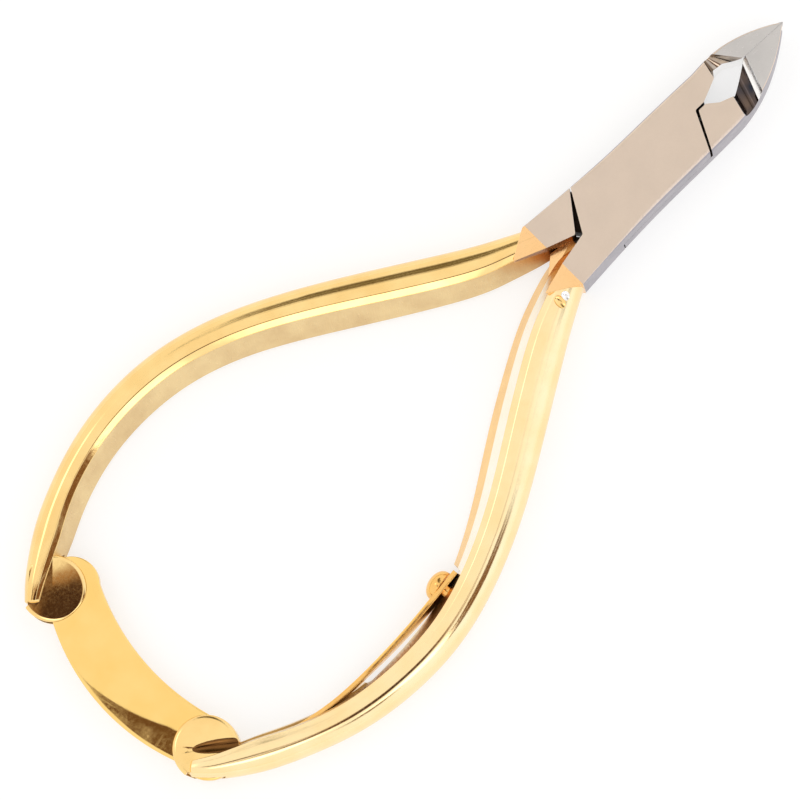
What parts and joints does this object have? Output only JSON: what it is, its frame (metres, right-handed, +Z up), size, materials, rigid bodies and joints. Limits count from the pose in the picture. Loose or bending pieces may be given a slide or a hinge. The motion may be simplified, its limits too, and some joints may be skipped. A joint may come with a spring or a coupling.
{
  "type": "cuticle nipper",
  "caption": "Lap-joint cuticle nipper with bowed half-round handles, pointed half-jaw blades and a swing strap that locks the handle tails.",
  "frame": {"origin": "middle of the footprint, on the surface that the nipper lies on", "axes": "+X from the handle tails to the jaw tip, +Y towards the left handle, +Z up out of the front face"},
  "size_m": [0.1156, 0.0522, 0.005],
  "materials": {
    "front_forging": "polished gold plate on the handle, bare satin steel on the lap plate and jaw",
    "back_forging": "polished gold plate on the handle, bare satin steel on the lap plate and jaw",
    "screw_steel": "turned satin steel",
    "strap_gold": "mirror polished gold plate",
    "pin_gold": "polished gold plate",
    "spring_gold": "bright gold plate"
  },
  "bodies": {
    "front": {"front_half": "front_forging", "pivot_screw": "screw_steel", "strap_hinge_pin": "pin_gold", "leaf_spring": "spring_gold", "spring_rivet": "spring_gold"},
    "back": {"back_half": "back_forging", "catch_pin": "pin_gold"},
    "strap": {"lock_strap": "strap_gold"}
  },
  "joints": [
    {"name": "handle_pivot", "type": "hinge", "parent": "front", "child": "back", "pos_m": [0.0327, 0, 0.0025], "axis": [0, 0, -1], "range_deg": [0, 20]},
    {"name": "strap_swing", "type": "hinge", "parent": "front", "child": "strap", "pos_m": [-0.052, -0.0135, 0.0025], "axis": [0, 0, -1], "range_deg": [0, 86]}
  ]
}
